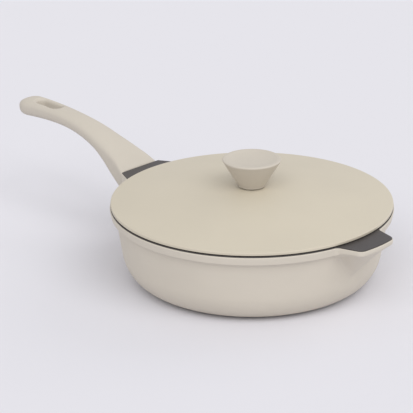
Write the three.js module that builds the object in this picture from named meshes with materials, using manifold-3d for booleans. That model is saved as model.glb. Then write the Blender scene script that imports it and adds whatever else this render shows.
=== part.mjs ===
// Saute pan with lid: a die-cast pan with a dark lining, an arched moulded handle,
// a helper tab opposite it, and a low conical lid with a dished cone knob.
// Millimetres, +Z up. Origin: centre of the base, on the surface that the pan stands on.
// The handle runs along -X and the helper tab along +X.
import * as THREE from "three";
import { mergeVertices } from "three/addons/utils/BufferGeometryUtils.js";
import Module from "manifold-3d";

const wasm = await Module();
wasm.setup();

// Fits
const fitGap = 0.3; // between pieces that sit on or in each other
const lidClearance = 1.6; // lid flange inside the mouth of the pan, on the radius

// Pan casting
const panHeight = 77; // surface to the dark rim face
const rimRadius = 142; // outside of the rim band, at its top
const rimEdgeRadius = 0.8; // rounded outer edge of the rim
const bandHeight = 8.6; // outer face of the rim band
const bandDraft = 1.3; // band drawn in at its lower edge
const shoulderHeight = 5; // drawn-in run between band and wall
const shoulderEdgePull = 3.4; // crisp turn under the band, inward and down
const shoulderEdgeDrop = 0.2;
const shoulderFootPull = 2.6; // slow turn into the wall
const wallInset = 6.4; // outside of the wall, under the shoulder, in from the rim band
const wallDraft = 5.1; // further in at the bottom corner
const cornerRadius = 29; // outside bottom corner
const innerCornerRadius = 20; // between floor and wall inside
const wallThickness = 3.2;
const floorThickness = 4.5; // over the steel plate
const liningThickness = 0.6; // dark non-stick coat

// Steel plate let into the base for induction hobs
const plateMargin = 11; // plate to the edge of the flat base
const plateThickness = 2.4;
const plateProud = 0.6; // below the casting, so the pan stands on the plate
const plateChamfer = 0.4;

// Helper tab, a flat ear at the rim with a gusset that runs from its underside into the wall
const tabLength = 23.3; // beyond the rim
const tabEndRadius = 135; // bow of its end
const tabHalfWidth = 23.5; // at its reach, before the corners are rounded
const tabTaper = 16; // degrees that each side widens towards the rim
const tabCornerRadius = 8;
const tabFlareRadius = 6; // concave run into the rim on each side
const tabThickness = 5.5;
const gussetDrop = 42; // rim face to the lower end of the gusset
const gussetHalfWidth = 5; // at that end

// Handle boss: a flared ear at the rim, a neck under it and a slanted tenon inside the handle
const bossLength = 18.6; // rim to the face that the handle meets
const bossEndRadius = 4000; // that face is all but flat
const bossHalfWidth = 26.9; // at that face
const bossTaper = 27; // degrees that each side widens towards the rim
const bossCornerRadius = 1.5;
const bossFlareRadius = 20;
const bossThickness = 8;
const neckHalfWidth = 25;
const neckDepth = 23.8; // rim face to the underside of the neck
const earInset = 22; // how far inside the rim circle the ears and the neck start
const tenonRise = 33.5; // degrees above level
const tenonDrop = 11.8; // rim face to the middle of the tenon, at the boss
const tenonLength = 24;
const tenonHalfWidth = 10;
const tenonHeight = 6;
const tenonRoot = 7; // how far the tenon starts inside the boss

// Handle, a solid moulding with an arched middle line
const handleRun = 182.1; // boss to tip, level
const handleTipRise = 29.4; // middle of the tip above the rim face
const handleRootStep = 0.2; // top of the root above the rim face
const handleRiseRun = 52.4; // pull point that sets the rise from the boss
const handleRise = 22.6;
const handleArchRun = 87; // pull point that sets the top of the arch
const handleArchRise = 35.2;
const handleNeckAt = 41.5; // along the middle line from the root
const handleWaistAt = 109;
const handleRootWidth = 52.6;
const handleNeckWidth = 38.4;
const handleWaistWidth = 26.6;
const handleEndWidth = 32.1;
const handleRootHeight = 24.1;
const handleNeckHeight = 18.5;
const handleWaistHeight = 15.8;
const handleEndHeight = 20.4;
const handleTipLength = 17.7; // rounded end
const handleRootSquareness = 7; // 2 is an ellipse, larger is squarer
const handleGripSquareness = 2.7;
const handleSquareRun = 60; // length over which the root's squareness fades
const handleTurnRun = 30; // length over which the sections lean into the rise
const slotFromTip = 24.9; // tip of the handle to the hanging slot
const slotLength = 35;
const slotWidth = 12;

// Handle screw, up through the handle into the tenon
const handleScrewAt = 14; // along the tenon
const handleScrewWall = 2.4; // handle left under the tenon, where the washer seats
const handleScrewShort = 0.5; // screw tip below the far side of the tenon

// Screws and washers
const screwRadius = 2.4;
const screwHeadRadius = 4.4;
const screwHeadHeight = 2.6;
const crossWidth = 1.1; // cross recess
const crossSpan = 5;
const crossDepth = 1.4;
const washerRadius = 5.4;
const washerThickness = 1;

// Lid
const lidRimShow = 0.8; // rim face left showing round the lid
const lidThickness = 2.4;
const lidEdgeThickness = 3.8;
const lidUndercutWidth = 4; // rounding under the edge
const lidUndercutHeight = 1.2;
const lidEdgeOver = 1.1; // rounding on top of the edge
const lidCrownRise = 18; // rim face to the flat under the knob, on top
const lidCrownRadius = 17; // flat under the knob
const lidEdgeRun = 39; // pull point that sets the slope at the edge
const lidEdgeClimb = 6.4;
const lidCrownRun = 46; // pull point that sets how flat the crown is
const lidCrownDrop = 0.8;
const lidFlangeDepth = 5.5; // locating ring under the lid
const lidFlangeThickness = 2.4;

// Knob
const knobSeatRadius = 13.8; // bottom of the collar
const knobFootRadius = 14.2; // top of the collar
const knobFootHeight = 1.4;
const knobGrooveDepth = 0.3; // fine groove between collar and cone
const knobGrooveWidth = 0.3;
const knobTopRadius = 29.1;
const knobHeight = 28.1;
const knobEdgeRadius = 1.4;
const knobDishDepth = 2.6;
const knobDishRadius = 25.6;
const gasketRadius = 12;
const gasketThickness = 0.8;
const knobWasherRadius = 8.5;
const insertRadius = 4.6;
const insertLength = 13;
const insertFlangeRadius = 6.5;
const insertFlangeThickness = 1.2;
const knobScrewBite = 10; // screw length inside the insert

// Facets
const roundSides = 60;
const knobSides = 40;
const smallSides = 20;
const handleSides = 24;
const handleRings = 14; // along the grip, before the rounded end
const tipRings = 5;

// Places worked out from the sizes above
const wallTopRadius = rimRadius - wallInset;
const wallFootRadius = wallTopRadius - wallDraft;
const plateRadius = wallFootRadius - cornerRadius - plateMargin;
const shoulderTop = panHeight - bandHeight;
const shoulderFoot = shoulderTop - shoulderHeight;
const wallSlope = wallDraft / (shoulderFoot - plateProud - cornerRadius);
const tabReach = rimRadius + tabLength;
const bossReach = rimRadius + bossLength;
const earRoot = rimRadius - earInset;
const handleReach = bossReach + handleRun;
const lidRadius = rimRadius - lidRimShow;
const plateSeat = plateThickness + fitGap;
const floorTop = plateSeat + floorThickness;
const castingTop = panHeight - liningThickness - fitGap;
const liningBack = wallThickness + fitGap;
const liningFace = liningBack + liningThickness;
const lidSeat = panHeight + fitGap;
const lidCrown = panHeight + lidCrownRise;
const gasketSeat = lidCrown + fitGap;
const knobSeat = gasketSeat + gasketThickness + fitGap;
const screwSeat = tenonHeight / 2 + fitGap + handleScrewWall; // below the middle of the tenon

const finishes = {
  creamCoat: { color: 0xd2c9bb, roughness: 0.55, metalness: 0 },
  lidCoat: { color: 0xd3c9b6, roughness: 0.55, metalness: 0 },
  creamMoulding: { color: 0xd3cabf, roughness: 0.6, metalness: 0 },
  darkLining: { color: 0x5b5957, roughness: 0.5, metalness: 0 },
  steel: { color: 0xb9bbbd, roughness: 0.35, metalness: 0.9 },
  brass: { color: 0xc8a860, roughness: 0.35, metalness: 0.9 },
  silicone: { color: 0xb9b1a4, roughness: 0.8, metalness: 0 },
};

// Joining and cutting
function solidOf(geometry) {
  const bare = geometry.index ? geometry.toNonIndexed() : geometry.clone();
  bare.deleteAttribute("normal");
  bare.deleteAttribute("uv");
  const merged = mergeVertices(bare, 1e-4);
  return new wasm.Manifold(
    new wasm.Mesh({
      numProp: 3,
      vertProperties: merged.attributes.position.array,
      triVerts: new Uint32Array(merged.index.array),
    }),
  );
}

function geometryOf(solid) {
  const { vertProperties, triVerts } = solid.getMesh();
  const geometry = new THREE.BufferGeometry();
  geometry.setAttribute("position", new THREE.BufferAttribute(vertProperties, 3));
  geometry.setIndex(new THREE.BufferAttribute(triVerts, 1));
  geometry.computeVertexNormals();
  return geometry;
}

// Shapes
function turned(profile, sides) {
  // The profile runs anticlockwise in (radius, height).
  const geometry = new THREE.LatheGeometry(profile, sides);
  return geometry.rotateX(Math.PI / 2);
}

function plate(shape, bottom, top) {
  const geometry = new THREE.ExtrudeGeometry(shape, {
    depth: top - bottom,
    bevelEnabled: false,
    curveSegments: 8,
  });
  return geometry.translate(0, 0, bottom);
}

function block(x0, x1, halfWidth, bottom, top) {
  const geometry = new THREE.BoxGeometry(x1 - x0, 2 * halfWidth, top - bottom);
  return geometry.translate((x0 + x1) / 2, 0, (bottom + top) / 2);
}

function rod(radius, bottom, top, sides = smallSides) {
  const geometry = new THREE.CylinderGeometry(radius, radius, top - bottom, sides);
  return geometry.rotateX(Math.PI / 2).translate(0, 0, (bottom + top) / 2);
}

function point(radius, height) {
  return new THREE.Vector2(radius, height);
}

function arcPoints(centre, radius, from, to, steps) {
  return Array.from({ length: steps + 1 }, (_, i) => {
    const angle = from + ((to - from) * i) / steps;
    return point(centre.x + radius * Math.cos(angle), centre.y + radius * Math.sin(angle));
  });
}

// Radius of the straight wall at a height, drawn in by offset from its outside
function wallRadiusAt(height, offset) {
  return wallTopRadius - offset - wallSlope * (shoulderFoot - height);
}

// Rounded corner from the floor up into the wall
function cornerLine(offset, floor, corner) {
  const pull = 0.552 * corner; // makes the curve a near circle
  const top = floor + corner;
  const end = wallRadiusAt(top, offset);
  const curve = new THREE.CubicBezierCurve(
    point(end - corner, floor),
    point(end - corner + pull, floor),
    point(wallRadiusAt(top - pull, offset), top - pull),
    point(end, top),
  );
  return curve.getPoints(6);
}

// Outside of the pan from the base up to the rim band
function outsideLine() {
  const footTurn = shoulderFoot + shoulderFootPull;
  const bandFoot = rimRadius - bandDraft;
  const shoulder = new THREE.CubicBezierCurve(
    point(wallTopRadius, shoulderFoot),
    point(wallRadiusAt(footTurn, 0), footTurn),
    point(bandFoot - shoulderEdgePull, shoulderTop - shoulderEdgeDrop),
    point(bandFoot, shoulderTop),
  );
  return [...cornerLine(0, plateProud, cornerRadius), ...shoulder.getPoints(5)];
}

// Inside of the pan from the middle of the floor up to a height
function insideLine(offset, floor, top) {
  const corner = cornerLine(offset, floor, innerCornerRadius);
  return [point(0, floor), ...corner, point(wallRadiusAt(top, offset), top)];
}

// Distance from a point, along a direction, to the near side of a circle
function runTo(start, direction, centre, radius) {
  const from = start.clone().sub(centre);
  const back = from.dot(direction);
  return -back - Math.sqrt(back ** 2 - from.lengthSq() + radius ** 2);
}

// Plan of an ear along +X: bowed end, rounded corners, tapered sides, concave runs into the rim
function earShape({ reach, endRadius, halfWidth, taper, corner, flare }) {
  const lean = THREE.MathUtils.degToRad(taper);
  const inward = point(-Math.cos(lean), Math.sin(lean));
  const outward = point(Math.sin(lean), Math.cos(lean));
  const end = point(reach, halfWidth);
  const endCentre = point(reach - endRadius, 0);
  const flareCentre = end.clone().addScaledVector(outward, flare);
  flareCentre.addScaledVector(inward, runTo(flareCentre, inward, point(0, 0), rimRadius + flare));
  const flareAngle = flareCentre.angle();
  const cornerCentre = end.clone().addScaledVector(outward, -corner);
  cornerCentre.addScaledVector(inward, runTo(cornerCentre, inward, endCentre, endRadius - corner));
  const endAngle = cornerCentre.clone().sub(endCentre).angle();
  const side = [
    point(earRoot, rimRadius * Math.sin(flareAngle)),
    ...arcPoints(flareCentre, flare, flareAngle - Math.PI, -Math.PI / 2 - lean, 6),
    ...arcPoints(cornerCentre, corner, Math.PI / 2 - lean, endAngle, 6),
    ...arcPoints(endCentre, endRadius, endAngle, 0, 4).slice(1),
  ];
  const mirrored = side.slice(0, -1).map((spot) => point(spot.x, -spot.y));
  return new THREE.Shape([...mirrored, ...side.reverse()]);
}

const tabShape = earShape({
  reach: tabReach,
  endRadius: tabEndRadius,
  halfWidth: tabHalfWidth,
  taper: tabTaper,
  corner: tabCornerRadius,
  flare: tabFlareRadius,
});
const bossShape = earShape({
  reach: bossReach,
  endRadius: bossEndRadius,
  halfWidth: bossHalfWidth,
  taper: bossTaper,
  corner: bossCornerRadius,
  flare: bossFlareRadius,
});

// Gusset from the underside of the tab, narrowing down into the wall
function tabGusset() {
  const top = panHeight - tabThickness;
  const foot = panHeight - gussetDrop;
  const outside = tabShape.getPoints().filter((spot) => spot.x > rimRadius);
  const rootHalfWidth = Math.max(...outside.map((spot) => spot.y));
  const upper = outside.map((spot) => [spot.x, spot.y, top]);
  const corners = [-1, 1].flatMap((side) => [
    [earRoot, side * rootHalfWidth, top],
    [wallRadiusAt(foot, 0), side * gussetHalfWidth, foot],
    [wallRadiusAt(foot, wallThickness), side * gussetHalfWidth, foot],
  ]);
  return wasm.Manifold.hull([...upper, ...corners]);
}

function ears(tabBottom, bossBottom, top) {
  const tab = plate(tabShape, tabBottom, top);
  const boss = plate(bossShape, bossBottom, top).rotateZ(Math.PI);
  return solidOf(tab).add(solidOf(boss));
}

// Turns a shape drawn about the middle of the tenon, with +X along it and +Z up, into place
function atTenon(geometry) {
  const lean = Math.PI + THREE.MathUtils.degToRad(tenonRise);
  return geometry.rotateX(Math.PI).rotateY(lean).translate(-bossReach, 0, panHeight - tenonDrop);
}

function tenonBlock(clearance) {
  const half = tenonHeight / 2 + clearance;
  return atTenon(block(-tenonRoot, tenonLength + clearance, tenonHalfWidth + clearance, -half, half));
}

function handleScrewRod(radius, bottom, top) {
  return atTenon(rod(radius, bottom, top).translate(handleScrewAt, 0, 0));
}

// Pan
function panCasting() {
  const plateRecess = plateRadius + fitGap;
  const outside = turned(
    [
      point(0, plateSeat),
      point(plateRecess, plateSeat),
      point(plateRecess, plateProud),
      ...outsideLine(),
      point(rimRadius, castingTop - rimEdgeRadius),
      point(rimRadius - rimEdgeRadius, castingTop),
      point(0, castingTop),
    ],
    roundSides,
  );
  const inside = turned([...insideLine(wallThickness, floorTop, panHeight), point(0, panHeight)], roundSides);
  const neck = block(-bossReach, -earRoot, neckHalfWidth, panHeight - neckDepth, castingTop);
  const screwHole = handleScrewRod(screwRadius + fitGap, -tenonHeight, tenonHeight);
  return solidOf(outside)
    .add(ears(panHeight - tabThickness, panHeight - bossThickness, castingTop))
    .add(tabGusset())
    .add(solidOf(neck))
    .add(solidOf(tenonBlock(0)))
    .subtract(solidOf(inside))
    .subtract(solidOf(screwHole));
}

function panLining() {
  const bottom = castingTop + fitGap;
  const outside = turned(
    [
      ...insideLine(liningBack, floorTop + fitGap, bottom),
      point(rimRadius - rimEdgeRadius, bottom),
      point(rimRadius - rimEdgeRadius, panHeight),
      point(0, panHeight),
    ],
    roundSides,
  );
  const floorFace = floorTop + fitGap + liningThickness;
  const clear = panHeight + bandHeight;
  const inside = turned([...insideLine(liningFace, floorFace, clear), point(0, clear)], roundSides);
  return solidOf(outside).add(ears(bottom, bottom, panHeight)).subtract(solidOf(inside));
}

function inductionPlate() {
  return turned(
    [
      point(0, 0),
      point(plateRadius - plateChamfer, 0),
      point(plateRadius, plateChamfer),
      point(plateRadius, plateThickness),
      point(0, plateThickness),
    ],
    roundSides,
  );
}

// Handle: rounded-square sections along an arched middle line in the XZ plane
const handleRoot = point(-bossReach - fitGap, panHeight + handleRootStep - handleRootHeight / 2);
const handleTip = point(-handleReach, panHeight + handleTipRise);
const handleLine = new THREE.CubicBezierCurve(
  handleRoot,
  point(-bossReach - handleRiseRun, panHeight + handleRise),
  point(-bossReach - handleArchRun, panHeight + handleArchRise),
  handleTip,
);
const handleLength = handleLine.getLength();

function alongHandle(root, neck, waist, end) {
  return new THREE.SplineCurve([
    point(0, root),
    point(handleNeckAt, neck),
    point(handleWaistAt, waist),
    point(handleLength, end),
  ]);
}

const handleWidths = alongHandle(handleRootWidth, handleNeckWidth, handleWaistWidth, handleEndWidth);
const handleHeights = alongHandle(handleRootHeight, handleNeckHeight, handleWaistHeight, handleEndHeight);

function sizeAt(curve, distance) {
  let low = 0;
  let high = 1;
  for (let step = 0; step < 30; step++) {
    const middle = (low + high) / 2;
    if (curve.getPoint(middle).x < distance) low = middle;
    else high = middle;
  }
  return curve.getPoint(low).y;
}

function handleSection(distance, roundOff) {
  const middle = handleLine.getPointAt(distance / handleLength);
  const rise = handleLine.getTangentAt(distance / handleLength);
  const lean = THREE.MathUtils.smoothstep(distance, 0, handleTurnRun);
  const along = point(-1, 0).lerp(rise, lean).normalize();
  const fade = THREE.MathUtils.smoothstep(distance, 0, handleSquareRun);
  const power = 2 / THREE.MathUtils.lerp(handleRootSquareness, handleGripSquareness, fade);
  const halfWidth = (sizeAt(handleWidths, distance) / 2) * roundOff;
  const halfHeight = (sizeAt(handleHeights, distance) / 2) * roundOff;
  return Array.from({ length: handleSides }, (_, side) => {
    const angle = (2 * Math.PI * (side + 0.5)) / handleSides;
    const across = Math.sign(Math.cos(angle)) * Math.abs(Math.cos(angle)) ** power * halfWidth;
    const upward = Math.sign(Math.sin(angle)) * Math.abs(Math.sin(angle)) ** power * halfHeight;
    return [middle.x + along.y * upward, across, middle.y - along.x * upward];
  }).flat();
}

function handleMoulding() {
  const gripLength = handleLength - handleTipLength;
  const positions = [];
  for (let ring = 0; ring <= handleRings; ring++) {
    positions.push(...handleSection((gripLength * ring) / handleRings, 1));
  }
  for (let ring = 1; ring <= tipRings; ring++) {
    const angle = ((Math.PI / 2) * ring) / (tipRings + 1);
    positions.push(...handleSection(gripLength + handleTipLength * Math.sin(angle), Math.cos(angle)));
  }
  const rings = handleRings + tipRings + 1;
  const rootCentre = rings * handleSides;
  const tipCentre = rootCentre + 1;
  positions.push(handleRoot.x, 0, handleRoot.y, handleTip.x, 0, handleTip.y);
  const faces = [];
  for (let side = 0; side < handleSides; side++) {
    const next = (side + 1) % handleSides;
    faces.push(rootCentre, side, next);
    for (let ring = 0; ring < rings - 1; ring++) {
      const near = ring * handleSides;
      const far = near + handleSides;
      faces.push(near + side, far + side, far + next, near + side, far + next, near + next);
    }
    const last = (rings - 1) * handleSides;
    faces.push(last + side, tipCentre, last + next);
  }
  const geometry = new THREE.BufferGeometry();
  geometry.setAttribute("position", new THREE.Float32BufferAttribute(positions, 3));
  geometry.setIndex(faces);
  return geometry;
}

function hangingSlot() {
  const radius = slotWidth / 2;
  const shape = new THREE.Shape();
  const farEnd = slotFromTip + radius - handleReach;
  const nearEnd = farEnd + slotLength - slotWidth;
  shape.absarc(nearEnd, 0, radius, -Math.PI / 2, Math.PI / 2, false);
  shape.absarc(farEnd, 0, radius, Math.PI / 2, 1.5 * Math.PI, false);
  return plate(shape, panHeight, panHeight + 2 * handleArchRise);
}

function handleGrip() {
  const throughHandle = 2 * handleRootHeight;
  const screwHole = handleScrewRod(screwRadius + fitGap, -screwSeat - fitGap, 0);
  const counterbore = handleScrewRod(washerRadius + fitGap, -throughHandle, -screwSeat);
  return solidOf(handleMoulding())
    .subtract(solidOf(tenonBlock(fitGap)))
    .subtract(solidOf(screwHole))
    .subtract(solidOf(counterbore))
    .subtract(solidOf(hangingSlot()));
}

// Fasteners, drawn with +Z from the head into the thread and the underside of the head at zero
function screw(length) {
  const dome = new THREE.QuadraticBezierCurve(
    point(0, -screwHeadHeight),
    point(screwHeadRadius, -screwHeadHeight),
    point(screwHeadRadius, 0),
  );
  const body = turned(
    [
      ...dome.getPoints(4),
      point(screwRadius, 0),
      point(screwRadius, length - screwRadius / 2),
      point(screwRadius / 2, length),
      point(0, length),
    ],
    smallSides,
  );
  const crossFloor = crossDepth - screwHeadHeight;
  const slot = block(-crossSpan / 2, crossSpan / 2, crossWidth / 2, -2 * screwHeadHeight, crossFloor);
  return solidOf(body)
    .subtract(solidOf(slot.clone()))
    .subtract(solidOf(slot.rotateZ(Math.PI / 2)));
}

function ring(outer, inner, bottom, top, sides = smallSides) {
  return turned(
    [point(inner, bottom), point(outer, bottom), point(outer, top), point(inner, top), point(inner, bottom)],
    sides,
  );
}

function handleScrew() {
  const headSeat = screwSeat + washerThickness + 2 * fitGap;
  const length = headSeat + tenonHeight / 2 - handleScrewShort;
  return atTenon(geometryOf(screw(length)).translate(handleScrewAt, 0, -headSeat));
}

function handleWasher() {
  const top = -screwSeat - fitGap;
  const washer = ring(washerRadius, screwRadius + fitGap, top - washerThickness, top);
  return atTenon(washer.translate(handleScrewAt, 0, 0));
}

// Lid
function lidShell() {
  const edgeTop = point(lidRadius - lidEdgeOver, lidSeat + lidEdgeThickness);
  const undercut = new THREE.EllipseCurve(
    lidRadius - lidUndercutWidth,
    lidSeat + lidUndercutHeight,
    lidUndercutWidth,
    lidUndercutHeight,
    -Math.PI / 2,
    0,
  );
  const overCentre = point(edgeTop.x, edgeTop.y - lidEdgeOver);
  const crown = new THREE.CubicBezierCurve(
    edgeTop,
    point(edgeTop.x - lidEdgeRun, edgeTop.y + lidEdgeClimb),
    point(lidCrownRadius + lidCrownRun, lidCrown - lidCrownDrop),
    point(lidCrownRadius, lidCrown),
  );
  const flangeBottom = lidSeat - lidFlangeDepth;
  const flangeOuter = wallRadiusAt(flangeBottom, liningFace) - lidClearance;
  const flangeInner = flangeOuter - lidFlangeThickness;
  const hole = screwRadius + fitGap;
  const top = crown.getPoints(7);
  const underside = top
    .map((spot) => point(spot.x, spot.y - lidThickness))
    .filter((spot) => spot.x < flangeInner - lidFlangeThickness)
    .reverse();
  const shoulderTop = top.findLast((spot) => spot.x > flangeInner) ?? edgeTop;
  const profile = [
    point(hole, lidCrown - lidThickness),
    ...underside,
    point(flangeInner, shoulderTop.y - lidThickness),
    point(flangeInner, flangeBottom),
    point(flangeOuter, flangeBottom),
    point(flangeOuter, lidSeat),
    ...undercut.getPoints(5),
    ...arcPoints(overCentre, lidEdgeOver, 0, Math.PI / 2, 2),
    ...top.slice(1),
    point(hole, lidCrown),
    point(hole, lidCrown - lidThickness),
  ];
  return turned(profile, roundSides);
}

// Knob and what holds it
function knob() {
  const bore = insertRadius + fitGap;
  const seat = insertFlangeRadius + fitGap;
  const seatTop = knobSeat + insertFlangeThickness + fitGap;
  const top = knobSeat + knobHeight;
  const edge = point(knobTopRadius - knobEdgeRadius, top - knobEdgeRadius);
  const dish = new THREE.QuadraticBezierCurve(
    point(knobDishRadius, top),
    point(knobDishRadius * 0.7, top - knobDishDepth),
    point(0, top - knobDishDepth),
  );
  const boreTop = knobSeat + insertLength + fitGap;
  const coneBottom = knobSeat + knobFootHeight;
  const grooveBottom = coneBottom - knobGrooveWidth;
  return turned(
    [
      point(0, boreTop),
      point(bore, boreTop),
      point(bore, seatTop),
      point(seat, seatTop),
      point(seat, knobSeat),
      point(knobSeatRadius, knobSeat),
      point(knobFootRadius, grooveBottom),
      point(knobFootRadius - knobGrooveDepth, grooveBottom),
      point(knobFootRadius - knobGrooveDepth, coneBottom),
      point(knobFootRadius, coneBottom),
      ...arcPoints(edge, knobEdgeRadius, -Math.PI / 6, Math.PI / 2, 4),
      ...dish.getPoints(5),
    ],
    knobSides,
  );
}

function knobInsert() {
  const bore = screwRadius + fitGap;
  return turned(
    [
      point(bore, knobSeat),
      point(insertFlangeRadius, knobSeat),
      point(insertFlangeRadius, knobSeat + insertFlangeThickness),
      point(insertRadius, knobSeat + insertFlangeThickness),
      point(insertRadius, knobSeat + insertLength),
      point(bore, knobSeat + insertLength),
      point(bore, knobSeat),
    ],
    smallSides,
  );
}

function knobGasket() {
  return ring(gasketRadius, screwRadius + fitGap, gasketSeat, gasketSeat + gasketThickness, knobSides);
}

const knobWasherTop = lidCrown - lidThickness - fitGap;

function knobWasher() {
  return ring(knobWasherRadius, screwRadius + fitGap, knobWasherTop - washerThickness, knobWasherTop);
}

function knobScrew() {
  const headSeat = knobWasherTop - washerThickness - fitGap;
  return geometryOf(screw(knobSeat + knobScrewBite - headSeat)).translate(0, 0, headSeat);
}

const sautePan = new THREE.Group();

function addPiece(name, finish, shape) {
  const geometry = shape.isBufferGeometry ? shape : geometryOf(shape);
  const piece = new THREE.Mesh(geometry, new THREE.MeshStandardMaterial(finishes[finish]));
  piece.name = name;
  sautePan.add(piece);
}

addPiece("pan_body", "creamCoat", panCasting());
addPiece("nonstick_lining", "darkLining", panLining());
addPiece("induction_plate", "steel", inductionPlate());
addPiece("handle_grip", "creamMoulding", handleGrip());
addPiece("handle_screw", "steel", handleScrew());
addPiece("handle_washer", "steel", handleWasher());
addPiece("lid_shell", "lidCoat", lidShell());
addPiece("knob", "creamMoulding", knob());
addPiece("knob_gasket", "silicone", knobGasket());
addPiece("knob_insert", "brass", knobInsert());
addPiece("knob_screw", "steel", knobScrew());
addPiece("knob_washer", "steel", knobWasher());

export default sautePan;
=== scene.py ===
import math

import bmesh
import bpy
import numpy as np
from mathutils import Matrix, Vector


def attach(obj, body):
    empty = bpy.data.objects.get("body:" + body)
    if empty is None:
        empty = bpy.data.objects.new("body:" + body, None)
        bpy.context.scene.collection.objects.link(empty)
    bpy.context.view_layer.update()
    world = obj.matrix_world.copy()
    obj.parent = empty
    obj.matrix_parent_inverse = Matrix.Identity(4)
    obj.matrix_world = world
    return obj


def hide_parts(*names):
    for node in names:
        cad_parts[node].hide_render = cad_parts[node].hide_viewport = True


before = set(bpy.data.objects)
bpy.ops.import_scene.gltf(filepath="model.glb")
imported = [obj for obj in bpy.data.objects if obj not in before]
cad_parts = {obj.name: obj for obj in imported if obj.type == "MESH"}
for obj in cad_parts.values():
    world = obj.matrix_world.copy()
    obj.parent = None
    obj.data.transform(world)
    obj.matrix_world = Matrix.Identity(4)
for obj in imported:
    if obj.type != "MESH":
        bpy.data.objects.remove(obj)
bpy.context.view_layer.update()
scene = bpy.context.scene
scene.view_settings.view_transform = "Standard"
mm = 0.001
print(f"saute pan: frame loaded, {len(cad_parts)} nodes")


# Node wiring, for finishes and for shapes

class Wiring:
    def __init__(self, tree):
        self.tree = tree
        tree.nodes.clear()

    def feed(self, socket, value):
        if isinstance(value, bpy.types.NodeSocket):
            self.tree.links.new(value, socket)
        elif socket.type == "RGBA":
            socket.default_value = (*value, 1.0)
        else:
            socket.default_value = value

    def add(self, kind, inputs=None, **settings):
        node = self.tree.nodes.new(kind)
        for name, value in settings.items():
            setattr(node, name, value)
        for key, value in (inputs or {}).items():
            self.feed(node.inputs[key], value)
        return node

    def work(self, operation, *values):
        return self.add("ShaderNodeMath", dict(enumerate(values)), operation=operation).outputs[0]

    def product(self, value, *others):
        for other in others:
            value = self.work("MULTIPLY", value, other)
        return value

    def split(self, place):
        return self.add("ShaderNodeSeparateXYZ", {0: place}).outputs

    def combine(self, x=0.0, y=0.0, z=0.0):
        return self.add("ShaderNodeCombineXYZ", {0: x, 1: y, 2: z}).outputs[0]

    def ramp(self, value, span, ends=(0.0, 1.0)):
        given = dict(zip(("From Min", "From Max", "To Min", "To Max"), (*span, *ends)))
        return self.add("ShaderNodeMapRange", {"Value": value, **given}).outputs[0]

    def tint(self, factor, first, second):
        return self.add("ShaderNodeMix", {0: factor, 6: first, 7: second}, data_type="RGBA").outputs[2]

    def noise(self, place, scale, detail=3.0, roughness=0.5):
        inputs = {"Vector": place, "Scale": scale, "Detail": detail, "Roughness": roughness}
        return self.add("ShaderNodeTexNoise", inputs).outputs[0]

    def bump(self, height, distance, under=None):
        inputs = {"Height": height, "Distance": distance, "Strength": 1.0}
        if under is not None:
            inputs["Normal"] = under
        return self.add("ShaderNodeBump", inputs).outputs[0]


# Finishes, with lengths in metres

noiseSpan = {"cloud": (0.35, 0.65), "grain": (0.3, 0.7), "stain": (0.4, 0.7)}  # where most of each noise lies
noiseDetail = {"smooth": 1.0, "medium": 2.0}


def startFinish(name):
    material = bpy.data.materials.new(name)
    material.use_nodes = True
    wiring = Wiring(material.node_tree)
    shader = wiring.add("ShaderNodeBsdfPrincipled")
    wiring.add("ShaderNodeOutputMaterial", {"Surface": shader.outputs[0]})
    place = wiring.add("ShaderNodeTexCoord").outputs["Object"]
    return material, wiring, shader.inputs, place


coatLooks = {
    "creamCoat": {
        "colour": (0.638, 0.585, 0.500), "cloudDepth": 0.972, "cloudScale": 22.0,
        "grainScale": 2600.0, "grainHeight": 0.000006, "peelScale": 420.0, "peelHeight": 0.00002,
        "roughness": (0.50, 0.60), "ior": 1.46,
    },
    "lidCoat": {
        "colour": (0.606, 0.550, 0.443), "cloudDepth": 0.976, "cloudScale": 16.0,
        "grainScale": 2600.0, "grainHeight": 0.000006, "peelScale": 380.0, "peelHeight": 0.000022,
        "roughness": (0.48, 0.58), "ior": 1.46,
    },
    "creamMoulding": {
        "colour": (0.576, 0.528, 0.457), "cloudDepth": 0.978, "cloudScale": 30.0,
        "grainScale": 3400.0, "grainHeight": 0.000012, "peelScale": 900.0, "peelHeight": 0.000008,
        "roughness": (0.58, 0.68), "ior": 1.45,
    },
    "softSilicone": {
        "colour": (0.48, 0.44, 0.37), "cloudDepth": 0.95, "cloudScale": 120.0,
        "grainScale": 3000.0, "grainHeight": 0.00001, "peelScale": 1200.0, "peelHeight": 0.000006,
        "roughness": (0.66, 0.78), "ior": 1.41,
    },
}
coatGrainRoughness = 0.6


def coatFinish(name, look):
    material, wiring, shader, place = startFinish(name)
    cloud = wiring.noise(place, look["cloudScale"])
    grain = wiring.noise(place, look["grainScale"], roughness=coatGrainRoughness)
    peel = wiring.noise(place, look["peelScale"], noiseDetail["smooth"])
    toned = [channel * look["cloudDepth"] for channel in look["colour"]]
    clouded = wiring.tint(wiring.ramp(cloud, noiseSpan["cloud"]), look["colour"], toned)
    wiring.feed(shader["Base Color"], clouded)
    wiring.feed(shader["Roughness"], wiring.ramp(grain, noiseSpan["grain"], look["roughness"]))
    waves = wiring.bump(peel, look["peelHeight"])
    wiring.feed(shader["Normal"], wiring.bump(grain, look["grainHeight"], waves))
    shader["IOR"].default_value = look["ior"]
    return material


creamCoat, lidCoat, creamMoulding, softSilicone = (coatFinish(*item) for item in coatLooks.items())

liningLook = {
    "colour": (0.061, 0.054, 0.051), "deep": (0.053, 0.047, 0.045), "fleck": (0.145, 0.135, 0.13),
    "fleckScale": 900.0, "fleckEdge": (0.096, 0.16), "fleckLevel": 0.55, "patchScale": 189.0,
    "patchSpan": (0.56, 0.62), "cloudScale": 40.0, "grainScale": 2200.0, "grainHeight": 0.00001,
    "roughness": (0.40, 0.52), "ior": 1.42,
}


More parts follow.
